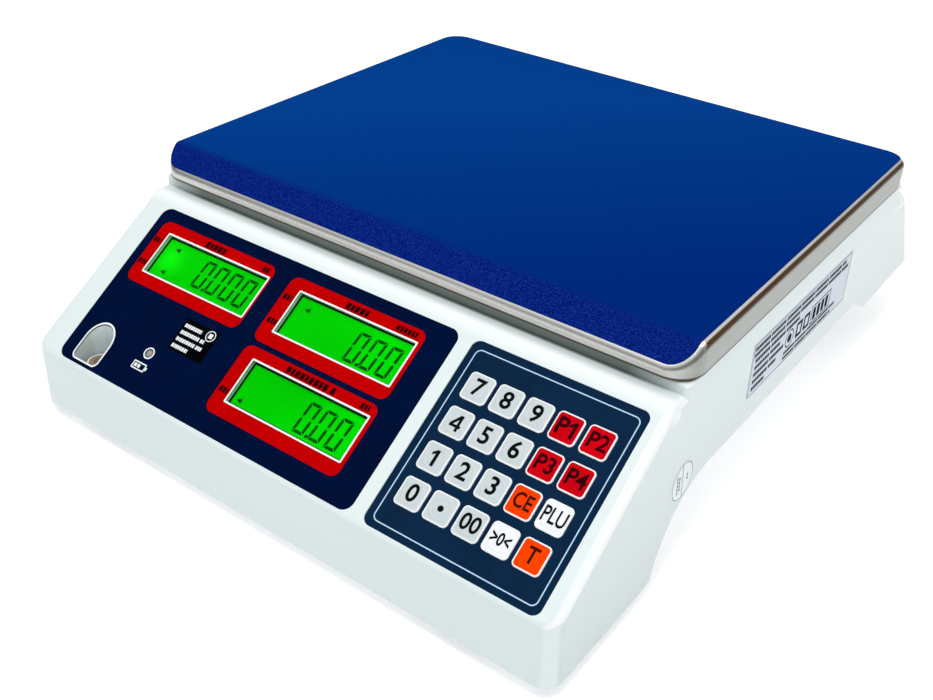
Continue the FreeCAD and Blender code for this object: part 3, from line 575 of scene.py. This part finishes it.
def well_loop(margin):
    """Outline of the level well, square in front and round behind, grown by a margin."""
    half, corner = WELL_HALF + margin, WELL_CORNER + margin
    cosine = math.cos(CONSOLE_SLOPE)
    front = -WELL_DOWN - WELL_FRONT - margin
    points = []
    for side in (-1, 1):
        for step in range(WELL_CORNER_STEPS + 1):
            share = step / WELL_CORNER_STEPS
            angle = math.pi / 2 * (share if side < 0 else 1 - share)
            points.append((WELL_X + side * (half - corner + corner * math.cos(angle)),
                           front + corner * (1 - math.sin(angle)) / cosine))
    for step in range(WELL_ARC_STEPS + 1):
        angle = math.pi * step / WELL_ARC_STEPS
        points.append((WELL_X + half * math.cos(angle), -WELL_DOWN + half * math.sin(angle) / cosine))
    return points


print_shape("outline_well", [well_loop(0.85), well_loop(-0.1)], CONSOLE, OVERLAY_FACE, LINE_TOP,
            inks["white"])
LAMP_X, LAMP_Y = -97.9, -86.8
print_shape("outline_lamp", [circle(LAMP_X, LAMP_Y, 3.4), circle(LAMP_X, LAMP_Y, 2.65)],
            CONSOLE, OVERLAY_FACE, LINE_TOP, inks["white"])

# a battery sign below its lamp
sign_x, sign_y = LAMP_X - 5.5, -97.5
print_shape("battery_sign", [round_rect(sign_x, sign_x + 9.5, sign_y, sign_y + 4.6, 0.6),
                             round_rect(sign_x + 0.7, sign_x + 8.8, sign_y + 0.7, sign_y + 3.9, 0.3),
                             bar(sign_x + 9.7, sign_y + 1.4, 0.9, 1.8),
                             bar(sign_x + 1.4, sign_y + 1.3, 1.8, 2.0),
                             bar(sign_x + 3.8, sign_y + 1.3, 1.8, 2.0)],
            CONSOLE, OVERLAY_FACE, LINE_TOP, inks["white"])

# dark data plate with plain bars in place of wording
PLATE = (-90.2, -65.4, -79.8, -60.6)                # left, right, bottom, top
print_shape("data_plate", [round_rect(*PLATE, 0.6)], CONSOLE, OVERLAY_FACE, PLATE_TOP, inks["plate"])
plate_bars = []
for row, length in enumerate((12.4, 17.6, 18.6, 11.4)):
    plate_bars += word_bars(PLATE[0] + 1.4, PLATE[3] - 5.0 - 4.15 * row, length, 2.1, 1.3)
sign_x, sign_y = PLATE[1] - 4.7, PLATE[3] - 3.6
plate_bars += [circle(sign_x, sign_y, 3.2), circle(sign_x, sign_y, 2.7),
               bar(sign_x - 1.3, sign_y - 1.4, 2.6, 2.8)]
print_shape("data_plate_bars", plate_bars, CONSOLE, PLATE_TOP, LINE_TOP, inks["white"])

# ---------------------------------------------------------------- keypad
KEYPAD_FACE = -0.45
KEY_HALF = (7.0, 7.3)
KEY_CORNER = 2.4
KEY_PITCH = (16.2, 19.2)
FIRST_KEY = (80.0, -30.3)
KEYS = [["7", "8", "9", "p1", "p2"], ["4", "5", "6", "p3", "p4"], ["1", "2", "3", "ce", "plu"],
        ["0", "dot", "00", "zero", "tare"]]
LEGENDS = {"p1": "P1", "p2": "P2", "p3": "P3", "p4": "P4", "ce": "CE", "plu": "PLU", "zero": ">0<",
           "tare": "T"}
# letter size, width factor and boldness, by the number of characters or for one legend
LEGEND_SHAPES = {1: (12.0, 0.98, 0.24), 2: (11.0, 0.94, 0.2), 3: (10.6, 0.68, 0.14),
                 "CE": (10.2, 0.78, 0.14), ">0<": (8.4, 0.74, 0.2), "T": (10.8, 0.84, 0.18)}
LEGEND_LOW, LEGEND_TOP = 0.17, 0.24
FIGURE_HEIGHT, FIGURE_STROKE = 8.2, 1.7
DOT_RADIUS = 1.5
KEY_INKS = {"key_red": "wine", "key_orange": "brown"}
LETTER_SHIFT, ONE_SHIFT = 2.5, 3.2                  # from the middle of P1 to its two characters
slots = {entry["node"]: entry["material_slot"] for entry in frame["record"]["subparts"]}
border = (68.5, 157.4, -106.3, -12.0)
print_shape("keypad_line", [round_rect(*border, 3.2), round_rect(*grown(*border, -0.55), 2.7)],
            CONSOLE, KEYPAD_FACE, KEYPAD_FACE + 0.03, inks["pale_blue"])

# rings of a key cap from its base to the middle: (inset from the outline, height) ...
RIM_RINGS = [(0.0, -2.5), (0.0, -0.14), (0.1, 0.03), (0.3, 0.12), (0.75, 0.13), (0.95, 0.1), (1.3, 0.07)]
# ... and then (radius, height) of the round embossed dome
DOME_RINGS = [(5.5, 0.07), (5.3, 0.16), (5.0, 0.19), (4.7, 0.16), (4.5, 0.09), (3.9, 0.09),
              (3.7, 0.14), (1.6, 0.17)]
DOME_TOP = 0.18
QUARTER_STEPS = 14
RIM_FACES = 4                                       # bands of faces that have the white rim's finish


def four_loops(cx, cy, height):
    """Outline and inner triangle of a figure four, centred on (cx, cy)."""
    outline = [(0.10, -0.5), (0.28, -0.5), (0.28, -0.28), (0.38, -0.28), (0.38, -0.12), (0.28, -0.12),
               (0.28, 0.5), (0.08, 0.5), (-0.36, -0.11), (-0.36, -0.28), (0.10, -0.28)]
    triangle = [(0.10, -0.12), (0.10, 0.22), (-0.15, -0.12)]
    return [[(cx + x * height, cy + y * height) for x, y in loop] for loop in (outline, triangle)]


def one_loop(cx, cy, height, stroke):
    """Outline of a bold figure one with a flag."""
    left, right = cx - stroke * 0.25, cx + stroke * 0.75
    top, bottom = cy + height / 2, cy - height / 2
    flag_x, flag_top = left - height * 0.22, top - height * 0.2
    return [(right, bottom), (right, top), (right - stroke * 0.8, top), (flag_x, flag_top),
            (flag_x, flag_top - stroke * 0.9), (left, top - height * 0.24), (left, bottom)]


def ring_points(half_w, half_h, corner):
    """Points of a rounded rectangle about the origin, QUARTER_STEPS to each corner."""
    points = []
    for quarter, (sx, sy) in enumerate(((1, 1), (-1, 1), (-1, -1), (1, -1))):
        cx, cy = sx * (half_w - corner), sy * (half_h - corner)
        for step in range(QUARTER_STEPS):
            angle = math.pi / 2 * (quarter + (step + 0.5) / QUARTER_STEPS)
            points.append((cx + corner * math.cos(angle), cy + corner * math.sin(angle)))
    return points


def key_cap(name, cx, cy):
    """Key cap with a raised rim and an embossed dome. Material 0 is the rim, 1 the middle."""
    rings = [(ring_points(KEY_HALF[0] - d, KEY_HALF[1] - d, max(KEY_CORNER - d, 0.8)), z)
             for d, z in RIM_RINGS]
    rings += [(ring_points(r, r, r), z) for r, z in DOME_RINGS]
    count = 4 * QUARTER_STEPS
    vertices = [(cx + x, cy + y, z) for points, z in rings for x, y in points]
    faces, picks = [], []
    for ring in range(len(rings) - 1):
        for k in range(count):
            a, b = ring * count + k, ring * count + (k + 1) % count
            faces.append((a, b, b + count, a + count))
            picks.append(0 if ring < RIM_FACES else 1)
    faces.append(tuple(range(count))[::-1])
    picks.append(0)
    top = (len(rings) - 1) * count
    vertices.append((cx, cy, DOME_TOP))
    for k in range(count):
        faces.append((top + k, top + (k + 1) % count, len(vertices) - 1))
        picks.append(1)
    mesh = bpy.data.meshes.new(name)
    mesh.from_pydata(vertices, [], faces)
    for polygon, pick in zip(mesh.polygons, picks):
        polygon.use_smooth = len(polygon.vertices) < 5
        polygon.material_index = pick
    mesh.transform(CONSOLE)
    return mesh


for row, names in enumerate(KEYS):
    for column, key in enumerate(names):
        node = "key_" + key
        body = "button_" + key
        cx = FIRST_KEY[0] + column * KEY_PITCH[0]
        cy = FIRST_KEY[1] - row * KEY_PITCH[1]
        mesh = key_cap("cap_" + key, cx, cy)
        mesh_finishes = [finishes["key_white"], finishes[slots[node]]]
        picks = [polygon.material_index for polygon in mesh.polygons]
        cap = add_piece(mesh, "cap_" + key, mesh_finishes, body)
        for polygon, pick in zip(mesh.polygons, picks):
            polygon.material_index = pick
        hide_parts(node)
        text = LEGENDS.get(key, key)
        ink = inks[KEY_INKS.get(slots[node], "black")]
        spot = CONSOLE @ Matrix.Translation((cx, cy, 0))
        if key == "dot":
            print_shape("legend_dot", [circle(cx, cy, DOT_RADIUS)], CONSOLE, LEGEND_LOW, LEGEND_TOP, ink,
                        body)
            continue
        if text == "4":
            print_shape("legend_4", four_loops(cx, cy, FIGURE_HEIGHT), CONSOLE, LEGEND_LOW, LEGEND_TOP, ink,
                        body)
            continue
        if text.endswith("1"):
            one_x = cx + (ONE_SHIFT if text == "P1" else 0.0)
            print_shape("legend_one_" + key, [one_loop(one_x, cy, FIGURE_HEIGHT, FIGURE_STROKE)],
                        CONSOLE, LEGEND_LOW, LEGEND_TOP, ink, body)
            text = text[:-1]
            spot = CONSOLE @ Matrix.Translation((cx - LETTER_SHIFT, cy, 0))
        if text:
            size, narrow, bold = LEGEND_SHAPES.get(text, LEGEND_SHAPES[len(text)])
            print_text("legend_" + key, text, size, spot, LEGEND_LOW, LEGEND_TOP, ink, body,
                       bold=bold, narrow=narrow)

# ---------------------------------------------------------------- rear readouts, label and seal
REAR_DOWN = -33.0
REAR_HALF = (32.0, 11.0)
for index, cx in enumerate((-78.0, 0.0, 78.0)):
    window = (cx - REAR_HALF[0], cx + REAR_HALF[0], REAR_DOWN - REAR_HALF[1], REAR_DOWN + REAR_HALF[1])
    print_shape("rear_frame_%d" % index, window_ring(window, 3.6, 3.0, HOLE_MARGIN, HOLE_RADIUS),
                REAR, OVERLAY_FACE, AREA_TOP, inks["red"])
    print_shape("rear_outline_%d" % index, window_ring(window, *WINDOW_LINE),
                REAR, OVERLAY_FACE, LINE_TOP, inks["white"])
    readout("rear_readout_%d" % index, REAR, cx, REAR_DOWN, 4 if index == 0 else 3, digit=(6.0, 14.0),
            pitch=9.0, right=28.0, stroke=1.3)

label_place = on_right_wall(*LABEL_CENTRE, LABEL_TILT)
label_w, label_h = LABEL_SIZE
label_bars = []
for row, share in enumerate((0.92, 0.95)):
    label_bars += word_bars(-label_w / 2 + 2, 11.4 - row * 3.6, label_w * share, 2.2, 1.7)
label_bars += word_bars(-label_w / 2 + 4, 3.8, label_w * 0.42, 2.3, 1.7)
for row, share in enumerate((0.24, 0.29, 0.22, 0.12)):
    label_bars += word_bars(-label_w / 2 + 4, -0.4 - row * 4.2, label_w * share, 2.3, 1.7)
for row, share in enumerate((0.54, 0.5)):
    label_bars += word_bars(-label_w * 0.17, -10.9 - row * 3.1, label_w * share, 1.8, 1.4)
sign_x, sign_y = -label_w * 0.13, -2.6
label_bars += [circle(sign_x, sign_y, 5.4), circle(sign_x, sign_y, 4.7), circle(sign_x, sign_y, 2.6)]
for box_x in (sign_x + 8.6, sign_x + 18.8):
    label_bars += [bar(box_x, sign_y - 4.6, 8.0, 9.2), bar(box_x + 1.8, sign_y - 2.8, 4.4, 5.6)]
plate_x = sign_x + 29
label_bars += [bar(plate_x, sign_y - 5.6, 27, 11.4), bar(plate_x + 0.7, sign_y - 4.9, 25.6, 10.0)]
label_bars += [bar(plate_x + 2.4 + 5.8 * column, sign_y - 3.8, 3.9, 7.6) for column in range(4)]
LABEL_FACE, LABEL_INK_TOP = 0.22, 0.25              # above the wall
print_shape("label_bars", label_bars, label_place, LABEL_FACE, LABEL_INK_TOP, inks["slate"])
label_edge = (-label_w / 2, label_w / 2, -label_h / 2, label_h / 2)
print_shape("label_border", window_ring(label_edge, -0.6, 1.0, -1.0, 0.8),
            label_place, LABEL_FACE, LABEL_INK_TOP, inks["grey"])

# round verification seal on the wall, ahead of the label, split by a line
SEAL, SEAL_RADIUS = (-110.6, 54.6), 10.2
seal_place = on_right_wall(*SEAL, math.radians(-4))
SEAL_STEPS = 64
print_shape("seal", [circle(0, 0, SEAL_RADIUS + 0.7, SEAL_STEPS)], seal_place, 0.02, 0.1, inks["white"])
seal_marks = [circle(0, 0, SEAL_RADIUS, SEAL_STEPS), circle(0, 0, SEAL_RADIUS - 0.45, SEAL_STEPS),
              bar(-0.25, -SEAL_RADIUS + 0.6, 0.5, 2 * SEAL_RADIUS - 1.2)]
for column, rows in ((-5.6, 5), (-3.6, 4), (4.2, 2)):
    seal_marks += [bar(column, 2.2 * row - rows, 1.2, 1.6) for row in range(rows)]
print_shape("seal_marks", seal_marks, seal_place, 0.1, 0.13, inks["grey"])

# ---------------------------------------------------------------- level vial
vial_low, vial_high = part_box("level_vial")
vial_top = Matrix.Translation(((vial_low.x + vial_high.x) / 2, (vial_low.y + vial_high.y) / 2, vial_high.z))
vial_top = vial_top @ Matrix.Scale(MM, 4)
print_shape("vial_ring", [circle(0, 0, 3.2), circle(0, 0, 2.85)], vial_top, 0.0, 0.04, inks["black"])
print_shape("vial_rim", [circle(0, 0, 7.0), circle(0, 0, 6.2)], vial_top, 0.0, 0.05, inks["white"])
print_shape("vial_bubble", [circle(0.3, -0.2, 2.3)], vial_top, 0.0, 0.1, finishes["clear_window"])

# ---------------------------------------------------------------- studio
camera_data = bpy.data.cameras.new("camera")
IMAGE_WIDTH = 933
FOCAL_LENGTH = 1146.54                             # in the same unit as IMAGE_WIDTH
camera_data.lens = FOCAL_LENGTH / IMAGE_WIDTH * camera_data.sensor_width
camera = bpy.data.objects.new("camera", camera_data)
bpy.context.scene.collection.objects.link(camera)
CAMERA_PLACE = (0.3266, -0.5091, 0.39406)
azimuth, elevation, roll = math.radians(35.32), math.radians(33.16), math.radians(-2.32)
back = Vector((math.sin(azimuth) * math.cos(elevation), -math.cos(azimuth) * math.cos(elevation),
               math.sin(elevation)))
level_right = (-back).cross(Vector((0, 0, 1))).normalized()
level_down = (-back).cross(level_right)
right = level_right * math.cos(roll) + level_down * math.sin(roll)
down = level_down * math.cos(roll) - level_right * math.sin(roll)
turn = Matrix((right, -down, back)).transposed().to_4x4()
camera.matrix_world = Matrix.Translation(CAMERA_PLACE) @ turn
bpy.context.scene.camera = camera


def softbox(name, location, target, size, power):
    data = bpy.data.lights.new(name, "AREA")
    data.shape = "SQUARE"
    data.size = size
    data.energy = power
    light = bpy.data.objects.new(name, data)
    bpy.context.scene.collection.objects.link(light)
    light.location = location
    light.rotation_euler = (Vector(target) - Vector(location)).to_track_quat("-Z", "Y").to_euler()


softbox("overhead", (0.15, -0.6, 1.7), (0, 0, 0), 0.5, 8)
softbox("front_glint", (-1.06, -1.78, 0.5), (0, -0.2, 0.05), 0.4, 1.2)
softbox("side_glint", (1.98, -0.12, 0.92), (0.16, -0.1, 0.08), 0.3, 1.7)

# a tent that is bright overhead and greyer towards the horizon
world = bpy.data.worlds.new("studio")
world.use_nodes = True
nodes, links = world.node_tree.nodes, world.node_tree.links
direction = nodes.new("ShaderNodeTexCoord")
height = nodes.new("ShaderNodeSeparateXYZ")
links.new(direction.outputs["Generated"], height.inputs["Vector"])
shade = nodes.new("ShaderNodeMapRange")
shade.inputs["From Min"].default_value = 0.45
shade.inputs["From Max"].default_value = 0.85
shade.inputs["To Min"].default_value = 0.25
shade.inputs["To Max"].default_value = 1.2
links.new(height.outputs["Z"], shade.inputs["Value"])
links.new(shade.outputs["Result"], nodes["Background"].inputs["Strength"])
nodes["Background"].inputs["Color"].default_value = (1.0, 1.0, 1.0, 1.0)
bpy.context.scene.world = world
bpy.context.scene.view_settings.view_transform = "Standard"

FLOOR_HALF = 25.0
floor_mesh = bpy.data.meshes.new("floor")
floor_corners = [(-1, -1), (1, -1), (1, 1), (-1, 1)]
floor_mesh.from_pydata([(x * FLOOR_HALF, y * FLOOR_HALF, 0) for x, y in floor_corners], [], [(0, 1, 2, 3)])
floor = bpy.data.objects.new("floor", floor_mesh)
bpy.context.scene.collection.objects.link(floor)
paper = finish_material("floor_paper", linear(250, 251, 252), 0.9, mottle=0.004, specular=0.1)
paper_surface = paper.node_tree.nodes["Principled BSDF"]
paper_surface.inputs["Emission Color"].default_value = (1.0, 1.0, 1.0, 1.0)
paper_surface.inputs["Emission Strength"].default_value = 0.25
floor_mesh.materials.append(paper)
